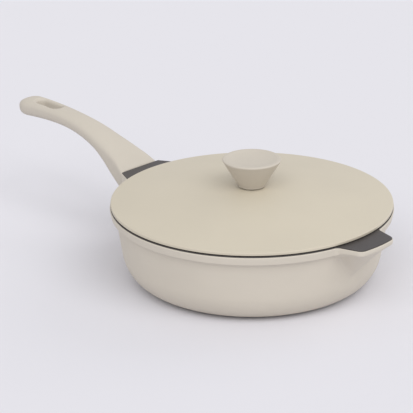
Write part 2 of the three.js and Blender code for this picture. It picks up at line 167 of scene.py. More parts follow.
def liningFinish(name, look):
    material, wiring, shader, place = startFinish(name)
    cloud = wiring.noise(place, look["cloudScale"])
    grain = wiring.noise(place, look["grainScale"])
    cells = wiring.add("ShaderNodeTexVoronoi", {"Vector": place, "Scale": look["fleckScale"]})
    speck = wiring.ramp(cells.outputs["Distance"], look["fleckEdge"], (1.0, 0.0))
    patch = wiring.noise(place, look["patchScale"], noiseDetail["smooth"])
    chosen = wiring.ramp(patch, look["patchSpan"], (0.0, look["fleckLevel"]))
    base = wiring.tint(wiring.ramp(cloud, noiseSpan["cloud"]), look["colour"], look["deep"])
    wiring.feed(shader["Base Color"], wiring.tint(wiring.product(speck, chosen), base, look["fleck"]))
    wiring.feed(shader["Roughness"], wiring.ramp(grain, noiseSpan["grain"], look["roughness"]))
    wiring.feed(shader["Normal"], wiring.bump(grain, look["grainHeight"]))
    shader["IOR"].default_value = look["ior"]
    return material


darkLining = liningFinish("darkLining", liningLook)

metalLooks = {
    "turnedSteel": {
        "colour": (0.56, 0.565, 0.57), "dull": (0.47, 0.47, 0.47), "lineScale": 5200.0, "lineStretch": 0.02,
        "lineHeight": 0.000006, "roughness": (0.24, 0.42), "stainScale": 26.0,
    },
    "screwSteel": {
        "colour": (0.60, 0.605, 0.61), "dull": (0.46, 0.46, 0.46), "lineScale": 2400.0, "lineStretch": 1.0,
        "lineHeight": 0.000004, "roughness": (0.26, 0.36), "stainScale": 300.0,
    },
    "insertBrass": {
        "colour": (0.58, 0.39, 0.12), "dull": (0.46, 0.30, 0.09), "lineScale": 3000.0, "lineStretch": 0.1,
        "lineHeight": 0.000005, "roughness": (0.28, 0.40), "stainScale": 240.0,
    },
}


def metalFinish(name, look):
    material, wiring, shader, place = startFinish(name)
    x, y, z = wiring.split(place)
    out = wiring.work("SQRT", wiring.work("ADD", wiring.product(x, x), wiring.product(y, y)))
    flat = look["lineStretch"]  # how little the lines change round the piece
    stretched = wiring.combine(wiring.product(x, flat), wiring.product(y, flat), wiring.work("ADD", out, z))
    lines = wiring.noise(stretched, look["lineScale"], noiseDetail["medium"])
    stain = wiring.ramp(wiring.noise(place, look["stainScale"]), noiseSpan["stain"])
    wiring.feed(shader["Base Color"], wiring.tint(stain, look["colour"], look["dull"]))
    wiring.feed(shader["Roughness"], wiring.ramp(lines, noiseSpan["grain"], look["roughness"]))
    wiring.feed(shader["Normal"], wiring.bump(lines, look["lineHeight"]))
    shader["Metallic"].default_value = 1.0
    return material


turnedSteel, screwSteel, insertBrass = (metalFinish(*item) for item in metalLooks.items())
print("finishes ready")


# Lines and sections, in millimetres

fillets = {"turn": 9.0, "fewest": 3, "sideShare": 0.47, "flat": 0.3, "flatShare": 0.04}


def easeBetween(low, high, value):
    part = np.clip((value - low) / (high - low), 0.0, 1.0)
    return part * part * (3.0 - 2.0 * part)


def quarterTurn(steps):
    return np.linspace(0.0, math.pi / 2, steps + 1)


def pulledLine(start, startPull, endPull, end, steps):
    part = np.linspace(0.0, 1.0, steps + 1)[:, None]
    start, startPull, endPull, end = (np.array(spot, float) for spot in (start, startPull, endPull, end))
    rest = 1.0 - part
    return rest**3 * start + 3 * rest**2 * part * startPull + 3 * rest * part**2 * endPull + part**3 * end


def roundLine(centre, radius, start, end, steps):
    angle = np.linspace(start, end, steps + 1)
    return np.column_stack([centre[0] + radius * np.cos(angle), centre[1] + radius * np.sin(angle)])


def runAlong(line):
    return np.concatenate([[0.0], np.cumsum(np.linalg.norm(np.diff(line, axis=0), axis=1))])


def evenLine(line, count):
    line = np.array(line, float)
    run = runAlong(line)
    stops = np.linspace(0.0, run[-1], count)
    return np.column_stack([np.interp(stops, run, line[:, axis]) for axis in range(line.shape[1])])


def filletLine(corners, turn=fillets["turn"]):
    # each corner is (radius, height) or (radius, height, fillet); short flats hold the edge of a fillet
    spots = [np.array(corner[:2], float) for corner in corners]
    line = [spots[0]]
    for i in range(1, len(corners) - 1):
        fillet = corners[i][2] if len(corners[i]) > 2 else 0.0
        if not fillet:
            line.append(spots[i])
            continue
        back, ahead = spots[i - 1] - spots[i], spots[i + 1] - spots[i]
        runs = np.linalg.norm(back), np.linalg.norm(ahead)
        back, ahead = back / runs[0], ahead / runs[1]
        half = math.acos(float(np.clip(back @ ahead, -1.0, 1.0))) / 2
        reach = min(fillet / math.tan(half), *(fillets["sideShare"] * run for run in runs))
        radius = reach * math.tan(half)
        middle = back + ahead
        centre = spots[i] + middle / np.linalg.norm(middle) * radius / math.sin(half)
        steps = max(fillets["fewest"], math.ceil(math.degrees(math.pi - 2 * half) / turn))
        first, last = spots[i] + back * reach - centre, spots[i] + ahead * reach - centre
        sweep = math.atan2(first[0] * last[1] - first[1] * last[0], float(first @ last))
        flats = [min(fillets["flat"] * radius, fillets["flatShare"] * run) for run in runs]
        line.append(spots[i] + back * (reach + flats[0]))
        for angle in sweep * np.arange(steps + 1) / steps:
            cos, sin = math.cos(angle), math.sin(angle)
            line.append(centre + np.array([first[0] * cos - first[1] * sin, first[0] * sin + first[1] * cos]))
        line.append(spots[i] + ahead * (reach + flats[1]))
    line.append(spots[-1])
    return np.array(line)


# Making pieces

def addPiece(name, vertices, faces, finish=None):
    mesh = bpy.data.meshes.new(name)
    mesh.from_pydata((np.array(vertices, float) * mm).tolist(), [], faces)
    if finish:
        mesh.materials.append(finish)
    piece = bpy.data.objects.new(name, mesh)
    scene.collection.objects.link(piece)
    return piece


def freeze(piece):
    graph = bpy.context.evaluated_depsgraph_get()
    mesh = bpy.data.meshes.new_from_object(piece.evaluated_get(graph))
    old = piece.data
    piece.modifiers.clear()
    piece.data = mesh
    mesh.name = piece.name
    bpy.data.meshes.remove(old)
    return piece


def joinOrCut(piece, tool, operation):
    modifier = piece.modifiers.new("join", "BOOLEAN")
    modifier.object = tool
    modifier.operation = operation
    modifier.solver = "MANIFOLD"
    freeze(piece)
    bpy.data.objects.remove(tool)


def closeSkin(piece, gap=0.0005):
    work = bmesh.new()
    work.from_mesh(piece.data)
    bmesh.ops.remove_doubles(work, verts=work.verts, dist=gap * mm)
    loose = [vert for vert in work.verts if not vert.link_faces]
    bmesh.ops.delete(work, geom=loose, context="VERTS")
    bmesh.ops.recalc_face_normals(work, faces=work.faces)
    work.to_mesh(piece.data)
    work.free()


def faceOutward(mesh):
    mesh.calc_loop_triangles()
    places = np.empty(len(mesh.vertices) * 3)
    mesh.vertices.foreach_get("co", places)
    corners = np.empty(len(mesh.loop_triangles) * 3, int)
    mesh.loop_triangles.foreach_get("vertices", corners)
    spots = places.reshape(-1, 3)[corners.reshape(-1, 3)]
    volume = np.einsum("ij,ij->i", spots[:, 0], np.cross(spots[:, 1], spots[:, 2])).sum() / 6
    if volume < 0:
        mesh.flip_normals()
    return abs(volume)


def addSolid(name, vertices, faces, finish):
    piece = addPiece(name, vertices, faces, finish)
    closeSkin(piece)
    faceOutward(piece.data)
    return piece


def settle(piece, body, slot, node, crease=38.0):
    volume = faceOutward(piece.data)
    piece.data.shade_smooth()
    piece.data.set_sharp_from_angle(angle=math.radians(crease))
    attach(piece, body)
    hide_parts(node)
    print(f"{piece.name}: {len(piece.data.polygons)} faces, {volume * 1e6:.1f} cm3")


def wrapRows(rows):
    # rows of points round the piece; the first and the last row close on the axis
    count, around = rows.shape[:2]
    vertices = [rows[0].mean(0)] + list(rows[1:-1].reshape(-1, 3)) + [rows[-1].mean(0)]
    last = len(vertices) - 1
    faces = []
    for side in range(around):
        beside = (side + 1) % around
        faces.append((0, 1 + beside, 1 + side))
        for row in range(count - 3):
            near, far = 1 + row * around, 1 + (row + 1) * around
            faces.append((near + side, near + beside, far + beside, far + side))
        near = 1 + (count - 3) * around
        faces.append((near + side, near + beside, last))
    return vertices, faces


# Shape trees: a turned form, and a screw with a cross recess

def startTree(name, inputs):
    tree = bpy.data.node_groups.new(name, "GeometryNodeTree")
    tree.interface.new_socket("Geometry", in_out="OUTPUT", socket_type="NodeSocketGeometry")
    for label, kind, value in inputs:
        socket = tree.interface.new_socket(label, in_out="INPUT", socket_type="NodeSocket" + kind)
        if value is not None:
            socket.default_value = value
    wiring = Wiring(tree)
    return tree, wiring, wiring.add("NodeGroupInput").outputs


def endTree(wiring, geometry, finish):
    real = wiring.add("GeometryNodeRealizeInstances", {"Geometry": geometry}).outputs[0]
    done = wiring.add("GeometryNodeSetMaterial", {"Geometry": real, "Material": finish}).outputs[0]
    wiring.add("NodeGroupOutput", {0: done})


turnedInputs = [
    ("Section", "Geometry", None), ("Sides", "Int", 96),
    ("Ridge Count", "Float", 0.0), ("Ridge Rise", "Float", 0.0), ("Ridge Depth", "Float", 0.0),
    ("Ridge From", "Float", 0.0), ("Ridge To", "Float", 0.0), ("Ridge Radius", "Float", 0.0),
    ("Finish", "Material", None),
]
poleGap = 0.000001  # points closer than this are joined, at the poles and along the seam


def turnedTree():
    tree, wiring, given = startTree("turnedForm", turnedInputs)
    work, product = wiring.work, wiring.product
    rows = wiring.add("GeometryNodeAttributeDomainSize", {0: given["Section"]}, component="MESH").outputs[0]
    counts = {"Vertices X": work("ADD", given["Sides"], 1.0), "Vertices Y": rows}
    sheet = wiring.add("GeometryNodeMeshGrid", {"Size X": 1.0, "Size Y": 1.0, **counts}).outputs["Mesh"]
    here = wiring.add("GeometryNodeInputPosition").outputs[0]
    across, along, _ = wiring.split(here)
    part = work("ADD", across, 0.5)  # the sheet's middle is at 0
    turn = product(part, math.tau)
    row = work("ROUND", product(work("ADD", along, 0.5), work("SUBTRACT", rows, 1.0)))
    spot = wiring.add("GeometryNodeSampleIndex", data_type="FLOAT_VECTOR", domain="POINT", clamp=True)
    for key, value in (("Geometry", given["Section"]), ("Value", here), ("Index", row)):
        wiring.feed(spot.inputs[key], value)
    radius, _, height = wiring.split(spot.outputs[0])
    phase = work("ADD", product(part, given["Ridge Count"]), product(height, given["Ridge Rise"]))
    wave = work("ABSOLUTE", work("SUBTRACT", work("FRACT", phase), 0.5))  # 0 to 0.5
    within = product(
        work("GREATER_THAN", height, given["Ridge From"]), work("LESS_THAN", height, given["Ridge To"]),
        work("GREATER_THAN", radius, given["Ridge Radius"]),
    )
    reach = work("SUBTRACT", radius, product(wave, given["Ridge Depth"], within, 2.0))
    place = wiring.combine(product(reach, work("COSINE", turn)), product(reach, work("SINE", turn)), height)
    bent = wiring.add("GeometryNodeSetPosition", {"Geometry": sheet, "Position": place}).outputs[0]
    closed = wiring.add("GeometryNodeMergeByDistance", {"Geometry": bent, "Distance": poleGap}).outputs[0]
    endTree(wiring, closed, given["Finish"])
    return tree


turnedForm = turnedTree()

screwInputs = [
    ("Section", "Geometry", None), ("Sides", "Int", 40),
    ("Thread Pitch", "Float", 0.0008), ("Thread Depth", "Float", 0.0), ("Thread From", "Float", 0.0),
    ("Thread To", "Float", 0.0), ("Cross Width", "Float", 0.001), ("Cross Span", "Float", 0.005),
    ("Cross Depth", "Float", 0.0014), ("Head Height", "Float", 0.0026), ("Cross Turn", "Float", 0.0),
    ("Finish", "Material", None),
]


def screwTree():
    tree, wiring, given = startTree("crossScrew", screwInputs)
    body = wiring.add("GeometryNodeGroup", node_tree=turnedForm)
    bodyInputs = {
        "Section": given["Section"], "Sides": given["Sides"], "Ridge Count": 1.0,
        "Ridge Rise": wiring.work("DIVIDE", 1.0, given["Thread Pitch"]), "Ridge Depth": given["Thread Depth"],
        "Ridge From": given["Thread From"], "Ridge To": given["Thread To"], "Finish": given["Finish"],
    }
    for key, value in bodyInputs.items():
        wiring.feed(body.inputs[key], value)
    tall = wiring.product(given["Cross Depth"], 2.0)  # half of it stands clear of the head
    size = wiring.combine(given["Cross Span"], given["Cross Width"], tall)
    bar = wiring.add("GeometryNodeMeshCube", {"Size": size}).outputs["Mesh"]
    drop = wiring.combine(z=wiring.product(given["Head Height"], -1.0))
    arms = wiring.add("GeometryNodeJoinGeometry")
    for quarter in (0.0, math.pi / 2):
        facing = wiring.combine(z=wiring.work("ADD", given["Cross Turn"], quarter))
        arm = wiring.add("GeometryNodeTransform", {"Geometry": bar, "Translation": drop, "Rotation": facing})
        wiring.feed(arms.inputs[0], arm.outputs[0])
    cut = wiring.add("GeometryNodeMeshBoolean", operation="DIFFERENCE", solver="MANIFOLD")
    wiring.feed(cut.inputs["Mesh 1"], body.outputs[0])
    wiring.feed(cut.inputs["Mesh 2"], arms.outputs[0])
    endTree(wiring, cut.outputs["Mesh"], given["Finish"])
    return tree


crossScrew = screwTree()


def growForm(name, tree, line, **values):
    # the section line lies in the XZ plane; values are named as the tree's inputs are, without the spaces
    piece = addPiece(name, [(radius, 0.0, height) for radius, height in line], [])
    modifier = piece.modifiers.new(tree.name, "NODES")
    modifier.node_group = tree
    for item in tree.interface.items_tree:
        key = item.name.replace(" ", "")
        key = key[0].lower() + key[1:]
        if item.in_out == "INPUT" and key in values:
            modifier[item.identifier] = values[key]
    return freeze(piece)


print("shape trees ready")


# Pan casting and its lining share the rim outline with the two ears

fitGap = 0.3  # between pieces that are put together
pan = {
    "height": 77.0, "rim": 142.0, "rimFillet": 0.8, "coatTop": 76.0, "rimSpacing": 2.6, "earBlend": 7.0,
    "band": 8.6, "bandDraft": 1.3, "sideFlat": 0.2, "shoulder": 5.0, "edgePull": 3.4, "edgeDrop": 0.2,
    "footPull": 2.6, "wallTop": 135.6, "wallFoot": 130.5, "wall": 3.2, "corner": 29.0, "innerCorner": 20.0,
    "bendPull": 0.552, "base": 0.6, "floor": 7.2, "floorFlat": 2.0, "floorShare": 0.4,
    "recess": 90.8, "recessTop": 2.7, "recessRoot": 0.4, "recessEdge": 0.5,
}
panSteps = {
    "wall": 14, "bend": 20, "innerWall": 16, "innerBend": 14, "band": 4, "rimFillet": 6,
    "underRim": 26, "underCurve": 60,
}
tab = {
    "reach": 165.3, "endRadius": 135.0, "halfWidth": 23.5, "taper": 16.0, "corner": 8.0, "flare": 6.0,
    "bottom": 71.5, "edge": 1.0, "sideFrom": 73.0, "gussetFoot": 35.5, "gussetRound": 6.3,
    "gussetSpread": 1.57, "gussetTopGap": 0.5, "gussetStart": 12.0, "startGap": 1.0, "fillet": 20.0,
}
boss = {
    "reach": 160.6, "endRadius": 4000.0, "halfWidth": 26.9, "taper": 27.0, "corner": 1.5, "flare": 20.0,
    "bottom": 53.2, "edge": 3.0, "sideFrom": 64.0, "wallFrom": 42.0, "root": 136.5, "rootDrop": 0.4,
    "fillet": 7.0,
}
earSteps = {"front": 12, "corner": 12, "side": 12, "flare": 16}
shoulderTop = pan["height"] - pan["band"]
shoulderFoot = shoulderTop - pan["shoulder"]


def meetCircle(start, aim, centre, radius):
    # where a line from a point outside a circle first meets it
    away = start - centre
    back = float(away @ aim)
    return start + aim * (-back - math.sqrt(back**2 - float(away @ away) + radius**2))


def earHalf(ear):
    # half outline of an ear along +X, from the middle of its end to the rim circle
    corner, flare, lean = ear["corner"], ear["flare"], math.radians(ear["taper"])
    inward = np.array((-math.cos(lean), math.sin(lean)))
    sideways = np.array((math.sin(lean), math.cos(lean)))
    end = np.array((ear["reach"], ear["halfWidth"]))
    endMiddle = np.array((ear["reach"] - ear["endRadius"], 0.0))
    flareMiddle = meetCircle(end + sideways * flare, inward, np.zeros(2), pan["rim"] + flare)
    flareAngle = math.atan2(flareMiddle[1], flareMiddle[0])
    cornerMiddle = meetCircle(end - sideways * corner, inward, endMiddle, ear["endRadius"] - corner)
    endAngle = math.atan2(cornerMiddle[1], cornerMiddle[0] - endMiddle[0])
    front = roundLine(endMiddle, ear["endRadius"], 0.0, endAngle, earSteps["front"])[:-1]
    bend = roundLine(cornerMiddle, corner, endAngle, math.pi / 2 - lean, earSteps["corner"])
    flareRun = roundLine(flareMiddle, flare, -math.pi / 2 - lean, flareAngle - math.pi, earSteps["flare"])
    side = evenLine([bend[-1], flareRun[0]], earSteps["side"])[1:-1]
    return np.vstack([front, bend, side, flareRun]), flareAngle


def rimOutline():
    tabHalf, tabAngle = earHalf(tab)
    bossHalf, bossAngle = earHalf(boss)
    steps = int((math.pi - tabAngle - bossAngle) * pan["rim"] / pan["rimSpacing"])
    rim = roundLine((0.0, 0.0), pan["rim"], tabAngle, math.pi - bossAngle, steps)[1:-1]
    upper = np.vstack([tabHalf, rim, (bossHalf * (-1.0, 1.0))[::-1]])
    return np.vstack([upper, (upper[1:-1] * (1.0, -1.0))[::-1]])


outline = rimOutline()
ahead = np.roll(outline, -1, axis=0) - np.roll(outline, 1, axis=0)
outward = np.column_stack([ahead[:, 1], -ahead[:, 0]]) / np.linalg.norm(ahead, axis=1)[:, None]
rimReach = np.linalg.norm(outline, axis=1)
spoke = outline / rimReach[:, None]
earPart = easeBetween(0.0, pan["earBlend"], rimReach - pan["rim"])  # 0 on the round rim, 1 out on an ear
bandInset = pan["bandDraft"] * (1.0 - earPart)


def wallRadius(height):
    foot = pan["base"] + pan["corner"]
    return pan["wallFoot"] + (pan["wallTop"] - pan["wallFoot"]) * (height - foot) / (shoulderFoot - foot)


def spokeRow(radius, height):
    # a row of points round the pan; each size is one number, or one for each spoke
    radius, height = (np.broadcast_to(size, len(spoke)) for size in (radius, height))
    return np.column_stack([spoke * radius[:, None], height])


def edgeRow(inset, height):
    return np.column_stack([outline - outward * inset, np.full(len(outline), height)])


def innerLine(offset, floor, top, mouth=0.0):
    # inside of the wall, from the rim down to the middle of the floor
    corner = pan["innerCorner"]
    pull, bendTop = pan["bendPull"] * corner, floor + corner
    foot, rim = wallRadius(bendTop) - offset, wallRadius(top) - offset
    lip = [(rim, top)]
    if mouth:
        start = (rim + 2.0 * mouth, top)  # room for the fillet
        lip = filletLine([start, (rim, top, mouth), (foot, bendTop)])[:-1]
    wall = evenLine([lip[-1], (foot, bendTop)], panSteps["innerWall"])[1:]
    bend = pulledLine(
        (foot, bendTop), (wallRadius(bendTop - pull) - offset, bendTop - pull),
        (foot - corner + pull, floor), (foot - corner, floor), panSteps["innerBend"],
    )[1:]
    centre = [(foot - corner - pan["floorFlat"], floor), (foot * pan["floorShare"], floor), (0.0, floor)]
    return np.vstack([lip, wall, bend, centre])


def underEar(ear, reach, across):
    # from the wall out to the side of an ear, in the plane of one spoke
    if ear is boss:
        low = boss["wallFrom"]
        return filletLine([
            (wallRadius(low), low), (boss["root"], boss["bottom"] - boss["rootDrop"], boss["fillet"]),
            (reach, boss["bottom"], boss["edge"]), (reach, boss["sideFrom"]),
        ])
    climb = math.hypot(tab["gussetSpread"] * across, tab["gussetRound"]) - tab["gussetRound"]
    low = min(tab["gussetFoot"] + climb, shoulderFoot - tab["gussetTopGap"])
    start = max(low - tab["gussetStart"], pan["base"] + pan["corner"] + tab["startGap"])
    return filletLine([
        (wallRadius(start), start), (wallRadius(low), low, tab["fillet"]),
        (reach, tab["bottom"], tab["edge"]), (reach, tab["sideFrom"]),
    ])


def underEarRows():
    # from the wall, out under the rim band or the ears, to the straight side of the rim
    count, wallTop = panSteps["underRim"], pan["wallTop"]
    turn = shoulderFoot + pan["footPull"]
    edge = pan["rim"] - pan["bandDraft"]
    curve = pulledLine(
        (wallTop, shoulderFoot), (wallRadius(turn), turn),
        (edge - pan["edgePull"], shoulderTop - pan["edgeDrop"]), (edge, shoulderTop), panSteps["underCurve"],
    )
    plain = evenLine(curve, count)
    lines = np.zeros((count, len(outline), 2))
    for i, (reach, part) in enumerate(zip(rimReach - bandInset, earPart)):
        own = plain.copy()
        own[:, 0] = wallTop + (own[:, 0] - wallTop) * (reach - wallTop) / (edge - wallTop)
        if part > 0.0:
            ear = tab if outline[i, 0] > 0 else boss
            under = evenLine(underEar(ear, reach, abs(spoke[i, 1]) * wallTop), count)
            own = own * (1.0 - part) + under * part
        lines[:, i] = own
    return lines


def panShell():
    below = filletLine([
        (0.0, pan["recessTop"]), (pan["recess"], pan["recessTop"], pan["recessRoot"]),
        (pan["recess"], pan["base"], pan["recessEdge"]), (pan["wallFoot"] - pan["corner"], pan["base"]),
    ])
    pull, bendTop = pan["bendPull"] * pan["corner"], pan["base"] + pan["corner"]
    bend = pulledLine(
        below[-1], (below[-1, 0] + pull, pan["base"]),
        (wallRadius(bendTop - pull), bendTop - pull), (pan["wallFoot"], bendTop), panSteps["bend"],
    )[1:]
    rows = [spokeRow(*spot) for spot in np.vstack([below, bend])]
    under = underEarRows()
    for step in range(1, panSteps["wall"]):
        height = bendTop + (under[0, :, 1] - bendTop) * step / panSteps["wall"]
        rows.append(spokeRow(wallRadius(height), height))
    rows += [spokeRow(*line.T) for line in under]
    fillet, sideFoot = pan["rimFillet"], under[-1, :, 1]
    sideTop = pan["coatTop"] - fillet
    for part in np.linspace(0.0, 1.0, panSteps["band"] + 1)[1:]:
        height = sideFoot + (sideTop - pan["sideFlat"] - sideFoot) * part
        rows.append(spokeRow(rimReach - bandInset * (1.0 - part), height))
    for angle in quarterTurn(panSteps["rimFillet"]):
        rows.append(edgeRow(fillet * (1.0 - math.cos(angle)), sideTop + fillet * math.sin(angle)))
    rows += [spokeRow(*spot) for spot in innerLine(pan["wall"], pan["floor"], pan["coatTop"])]
    return addSolid("panShell", *wrapRows(np.array(rows)), creamCoat)


tenon = {
    "reach": boss["reach"], "drop": 11.8, "rise": 33.5, "length": 24.0, "root": 7.0, "halfWidth": 10.0,
    "height": 6.0, "edge": 0.8, "edgeTurn": 30.0, "screwAt": 14.0, "screwHole": 2.7, "seat": 5.7,
    "bore": 5.7, "boreDepth": 40.0, "boreSides": 56,
}


def atTenon(line):
    # from the tenon's own axes, +X along it and +Z up, into place
    lean = math.radians(tenon["rise"])
    cos, sin = math.cos(lean), math.sin(lean)
    line = np.array(line, float)
    x = -tenon["reach"] - cos * line[:, 0] + sin * line[:, 2]
    z = pan["height"] - tenon["drop"] + sin * line[:, 0] + cos * line[:, 2]
    return np.column_stack([x, -line[:, 1], z])


def prismTool(name, ends, finish):
    # a bar or a rod between two loops of points, in the tenon's own axes
    count = len(ends[0])
    faces = [tuple(range(count)), tuple(range(2 * count - 1, count - 1, -1))]
    faces += [(i, (i + 1) % count, (i + 1) % count + count, i + count) for i in range(count)]
    return addSolid(name, atTenon(np.vstack(ends)), faces, finish)


def barTool(name, grow, finish):
    # the tenon itself, or with some growth the room for it
    wide, tall, edge = tenon["halfWidth"] + grow, tenon["height"] / 2 + grow, tenon["edge"]
    corners = [(wide, -tall, edge), (wide, tall, edge), (-wide, tall, edge), (-wide, -tall, edge)]
    loop = filletLine([(0.0, -tall), *corners, (0.0, -tall)], tenon["edgeTurn"])[:-1]
    lengths = (-tenon["root"], tenon["length"] + grow)
    return prismTool(name, [[(along, *spot) for spot in loop] for along in lengths], finish)


def rodTool(name, radius, heights, finish):
    angles = np.arange(tenon["boreSides"]) * math.tau / tenon["boreSides"]
    loop = np.column_stack([tenon["screwAt"] + radius * np.cos(angles), radius * np.sin(angles)])
    return prismTool(name, [[(*spot, height) for spot in loop] for height in heights], finish)


shell = panShell()
joinOrCut(shell, barTool("tenonBar", 0.0, creamCoat), "UNION")
tenonHole = rodTool("tenonHole", tenon["screwHole"], (-tenon["height"], tenon["height"]), creamCoat)
joinOrCut(shell, tenonHole, "DIFFERENCE")
settle(shell, "pan", "cream_coat", "pan_body")

lining = {
    "face": 4.1, "floor": 8.1, "backGap": 0.05, "inset": 0.8, "edge": 0.3, "edgeSteps": 4, "edgeFlat": 0.25,
    "mouth": 1.6,
}


def panLining():
    gap, edge, top = lining["backGap"], lining["edge"], pan["height"]
    low = pan["coatTop"] + gap
    rows = [spokeRow(*spot) for spot in innerLine(pan["wall"] + gap, pan["floor"] + gap, low)[::-1]]
    rows.append(edgeRow(lining["inset"], low))
    for angle in quarterTurn(lining["edgeSteps"]):
        inset = lining["inset"] + edge * (1.0 - math.cos(angle))
        rows.append(edgeRow(inset, top - edge + edge * math.sin(angle)))
    rows.append(edgeRow(lining["inset"] + edge + lining["edgeFlat"], top))
    rows += [spokeRow(*spot) for spot in innerLine(lining["face"], lining["floor"], top, lining["mouth"])]
    return addSolid("panLining", *wrapRows(np.array(rows)), darkLining)


settle(panLining(), "pan", "dark_lining", "nonstick_lining")

basePlate = {
    "radius": 90.5, "thickness": 2.4, "chamfer": 0.4, "backEdge": 0.2, "sides": 160,
    "dimple": ((0.0, 0.5), (0.5, 0.45), (1.2, 0.25), (2.2, 0.0)),  # a turning mark in the middle
    "firstGroove": 9.0, "lastGroove": 84.5, "pitch": 1.9, "grooveWidth": 0.9, "grooveDepth": 0.16,
    "groove": ((0.0, 0.0), (0.3, 0.8), (0.5, 1.0), (0.7, 0.8), (1.0, 0.0)),  # shares of its width and depth
    "edgeFlat": 2.0,
}


def plateLine():
    line = list(basePlate["dimple"])
    width, depth = basePlate["grooveWidth"], basePlate["grooveDepth"]
    for start in np.arange(basePlate["firstGroove"], basePlate["lastGroove"], basePlate["pitch"]):
        line += [(start + across * width, up * depth) for across, up in basePlate["groove"]]
    radius, top = basePlate["radius"], basePlate["thickness"]
    edge = filletLine([
        (basePlate["lastGroove"] + basePlate["edgeFlat"], 0.0), (radius, 0.0, basePlate["chamfer"]),
        (radius, top, basePlate["backEdge"]), (0.0, top),
    ])
    return np.vstack([line, edge])


plate = growForm("basePlate", turnedForm, plateLine(), sides=basePlate["sides"], finish=turnedSteel)
settle(plate, "pan", "steel", "induction_plate")


# Handle moulding: rounded-square sections along an arched middle line

handle = {
    "root": (-160.9, 65.15), "rootPull": (-213.0, 99.6), "tipPull": (-247.6, 112.2), "tip": (-342.7, 106.4),
    "neckAt": 41.5, "waistAt": 109.0, "widths": (52.6, 38.4, 26.6, 32.1), "heights": (24.1, 18.5, 15.8, 20.4),
    "tipLength": 17.7, "rootSquare": 7.0, "gripSquare": 2.7, "squareRun": 60.0, "turnRun": 30.0,
    "rootFillet": 1.1, "rootRings": 5, "tipRings": 13, "sides": 96, "spacing": 2.0,
    "curveSteps": 6000, "sizeSteps": 400,
}
slot = {
    "from": -317.8, "to": -282.8, "halfWidth": 6.0, "fillet": 4.5, "filletSteps": 8, "margin": 7.0,
    "columns": 12, "spacing": 1.25, "denseTip": 0.8, "steepest": 0.999, "landParts": (0.75, 0.5, 0.25, 0.06),
}
skinSearch = {
    "from": 40.0, "tipShare": 0.9, "halvings": 44, "probeFrom": 60.0, "probeEnd": 6.0, "probes": 3000,
}


def waveLine(stops, sizes):
    # a curve that passes through each size at its stop
    spots = np.column_stack([stops, sizes])
    part = np.linspace(0.0, 1.0, handle["sizeSteps"])[:, None]
    line = []
    for i in range(len(spots) - 1):
        before, after = spots[max(i - 1, 0)], spots[min(i + 2, len(spots) - 1)]
        near, far = spots[i], spots[i + 1]
        leave, meet = (far - before) / 2, (after - near) / 2
        cubed = 2 * near - 2 * far + leave + meet
        squared = -3 * near + 3 * far - 2 * leave - meet
        line.append(cubed * part**3 + squared * part**2 + leave * part + near)
    return np.vstack(line)


middleLine = pulledLine(
    handle["root"], handle["rootPull"], handle["tipPull"], handle["tip"], handle["curveSteps"],
)
middleRun = runAlong(middleLine)
middleAim = np.gradient(middleLine, axis=0)
middleAim /= np.linalg.norm(middleAim, axis=1)[:, None]
handleLength = middleRun[-1]
gripLength = handleLength - handle["tipLength"]
handleStops = (0.0, handle["neckAt"], handle["waistAt"], handleLength)
widthLine = waveLine(handleStops, handle["widths"])
heightLine = waveLine(handleStops, handle["heights"])


def handleSizes(distance):
    middle = [np.interp(distance, middleRun, middleLine[:, axis]) for axis in (0, 1)]
    aim = [np.interp(distance, middleRun, middleAim[:, axis]) for axis in (0, 1)]
    lean = easeBetween(0.0, handle["turnRun"], distance)
    aimX = -1.0 + (aim[0] + 1.0) * lean
    aimZ = aim[1] * lean
    size = np.hypot(aimX, aimZ)
    eased = easeBetween(0.0, handle["squareRun"], distance)
    power = handle["rootSquare"] + (handle["gripSquare"] - handle["rootSquare"]) * eased
    beyond = np.clip((distance - gripLength) / handle["tipLength"], 0.0, 1.0)
    roundOff = np.sqrt(1.0 - beyond**2)
    fillet = handle["rootFillet"]
    left = np.clip(fillet - distance, 0.0, fillet)
    inset = fillet - np.sqrt(fillet**2 - left**2)
    halves = [np.interp(distance, *line.T) / 2 for line in (widthLine, heightLine)]
    halfWidth, halfHeight = ((half - inset) * roundOff for half in halves)
    return middle, (aimX / size, aimZ / size), power, halfWidth, halfHeight


def handleSpots(distance, angle):
    middle, aim, power, halfWidth, halfHeight = handleSizes(distance)
    cos, sin = np.cos(angle), np.sin(angle)
    out = (np.abs(cos) ** power + np.abs(sin) ** power) ** (-1.0 / power)
    across, up = halfWidth * out * cos, halfHeight * out * sin
    return np.stack([middle[0] + aim[1] * up, across, middle[1] - aim[0] * up], axis=-1)


def handleSkin(x, y, side):
    # height of the handle's top (side 1) or underside (side -1) over a point of the plan
    low = np.full(x.shape, skinSearch["from"])
    high = np.full(x.shape, gripLength + skinSearch["tipShare"] * handle["tipLength"])
    for _ in range(skinSearch["halvings"]):
        distance = (low + high) / 2
        middle, aim, power, halfWidth, halfHeight = handleSizes(distance)
        inside = np.clip(1.0 - (np.abs(y) / halfWidth) ** power, 0.0, 1.0)
        up = side * halfHeight * inside ** (1.0 / power)
        short = middle[0] + aim[1] * up > x
        low, high = np.where(short, distance, low), np.where(short, high, distance)
    return middle[1] - aim[0] * up


def nearestOnSlot(x, y):
    half = slot["halfWidth"]
    middle = np.clip(x, slot["from"] + half, slot["to"] - half)
    away = np.hypot(x - middle, y)
    aimX, aimY = (x - middle) / away, y / away
    return middle + aimX * half, aimY * half, aimX, aimY, away - half


